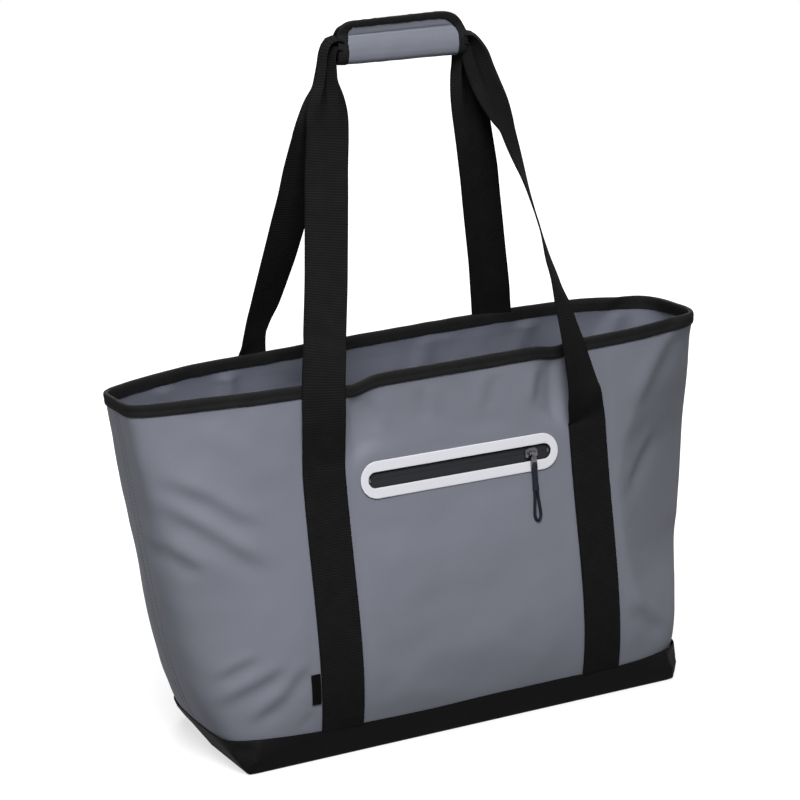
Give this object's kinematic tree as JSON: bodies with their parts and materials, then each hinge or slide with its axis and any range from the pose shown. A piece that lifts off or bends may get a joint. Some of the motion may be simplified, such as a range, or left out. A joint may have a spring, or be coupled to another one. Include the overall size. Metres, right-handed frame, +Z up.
{
  "type": "insulated cooler bag",
  "caption": "Insulated tote-shaped cooler bag of coated fabric with foam walls, a zip pocket, a recessed zip closure and webbing handles joined in a wrap grip.",
  "frame": {"origin": "middle of the underside of the boot floor, on the surface the bag stands on", "axes": "+Z up, +X along the mouth to the right as seen from the front, the pocket side faces -Y"},
  "size_m": [0.564, 0.1818, 0.6045],
  "materials": {
    "tarpaulin": "satin",
    "boot_tarpaulin": "satin",
    "webbing": "matte ribbed",
    "tape": "matte",
    "foam": "matte",
    "liner": "satin",
    "board": "matte",
    "reflective_film": "satin",
    "zip_tape": "satin coated",
    "gunmetal": "satin",
    "cord": "matte",
    "sleeve": "matte"
  },
  "bodies": {
    "bag": {"front_panel": "tarpaulin", "back_panel": "tarpaulin", "boot_floor": "boot_tarpaulin", "boot_band": "boot_tarpaulin", "base_board": "board", "base_foam": "foam", "front_foam": "foam", "back_foam": "foam", "front_liner": "liner", "back_liner": "liner", "floor_liner": "liner", "front_facing": "tarpaulin", "back_facing": "tarpaulin", "rim_binding": "tape", "strap_front_left": "webbing", "strap_front_right": "webbing", "strap_back_left": "webbing", "strap_back_right": "webbing", "leg_front_left": "webbing", "leg_front_right": "webbing", "label_tab": "tape", "pocket_surround": "reflective_film", "pocket_tape_upper": "zip_tape", "pocket_tape_lower": "zip_tape", "pocket_stops": "gunmetal", "pocket_pouch": "tape", "closure_end_left": "tarpaulin", "closure_end_right": "tarpaulin", "closure_tail_left": "zip_tape", "closure_tail_right": "zip_tape"},
    "carry_handle": {"leg_back_left": "webbing", "leg_back_right": "webbing", "grip_webbing_front": "webbing", "grip_webbing_back": "webbing", "wrap_back": "tarpaulin", "wrap_back_binding": "tape", "wrap_loop_patch": "tape"},
    "wrap_flap": {"wrap_flap": "tarpaulin", "wrap_flap_binding": "tape", "wrap_hook_patch": "tape"},
    "pocket_slider": {"pocket_slider": "gunmetal"},
    "pocket_pull": {"pocket_puller": "gunmetal", "pocket_sleeve": "sleeve", "pocket_cord": "cord"},
    "closure_slider": {"closure_slider": "gunmetal"},
    "closure_pull": {"closure_puller": "gunmetal"},
    "closure_front": {"closure_flap_front": "tarpaulin", "closure_tape_front": "zip_tape"},
    "closure_back": {"closure_flap_back": "tarpaulin", "closure_tape_back": "zip_tape"}
  },
  "joints": [
    {"name": "handle_swing", "type": "hinge", "parent": "bag", "child": "carry_handle", "pos_m": [0, 0.06384, 0.322], "axis": [1, 0, 0], "range_deg": [0, 65], "deforming": ["leg_front_left", "leg_front_right"]},
    {"name": "wrap_open", "type": "hinge", "parent": "carry_handle", "child": "wrap_flap", "pos_m": [-0.01, -0.0065, 0.5756], "axis": [1, 0, 0], "range_deg": [0, 90]},
    {"name": "pocket_zip_slide", "type": "slide", "parent": "bag", "child": "pocket_slider", "axis": [-1, 0, 0], "range_m": [-0.008, 0.146]},
    {"name": "pocket_pull_swing", "type": "hinge", "parent": "pocket_slider", "child": "pocket_pull", "pos_m": [0.069, -0.07306, 0.23246], "axis": [1, 0, 0], "range_deg": [-150, 0]},
    {"name": "closure_zip_slide", "type": "slide", "parent": "bag", "child": "closure_slider", "axis": [-1, 0, 0], "range_m": [0, 0.412]},
    {"name": "closure_pull_swing", "type": "hinge", "parent": "closure_slider", "child": "closure_pull", "pos_m": [0.206, 0, 0.2684], "axis": [0, -1, 0], "range_deg": [0, 150]},
    {"name": "closure_front_fold", "type": "hinge", "parent": "bag", "child": "closure_front", "pos_m": [0, -0.05222, 0.262], "axis": [1, 0, 0], "range_deg": [0, 72]},
    {"name": "closure_back_fold", "type": "hinge", "parent": "bag", "child": "closure_back", "pos_m": [0, 0.05222, 0.262], "axis": [-1, 0, 0], "range_deg": [0, 72]}
  ],
  "couplings": [
    {"joint": "closure_front_fold", "follows": "closure_zip_slide", "rad_per_m": 3.05},
    {"joint": "closure_back_fold", "follows": "closure_zip_slide", "rad_per_m": 3.05}
  ]
}
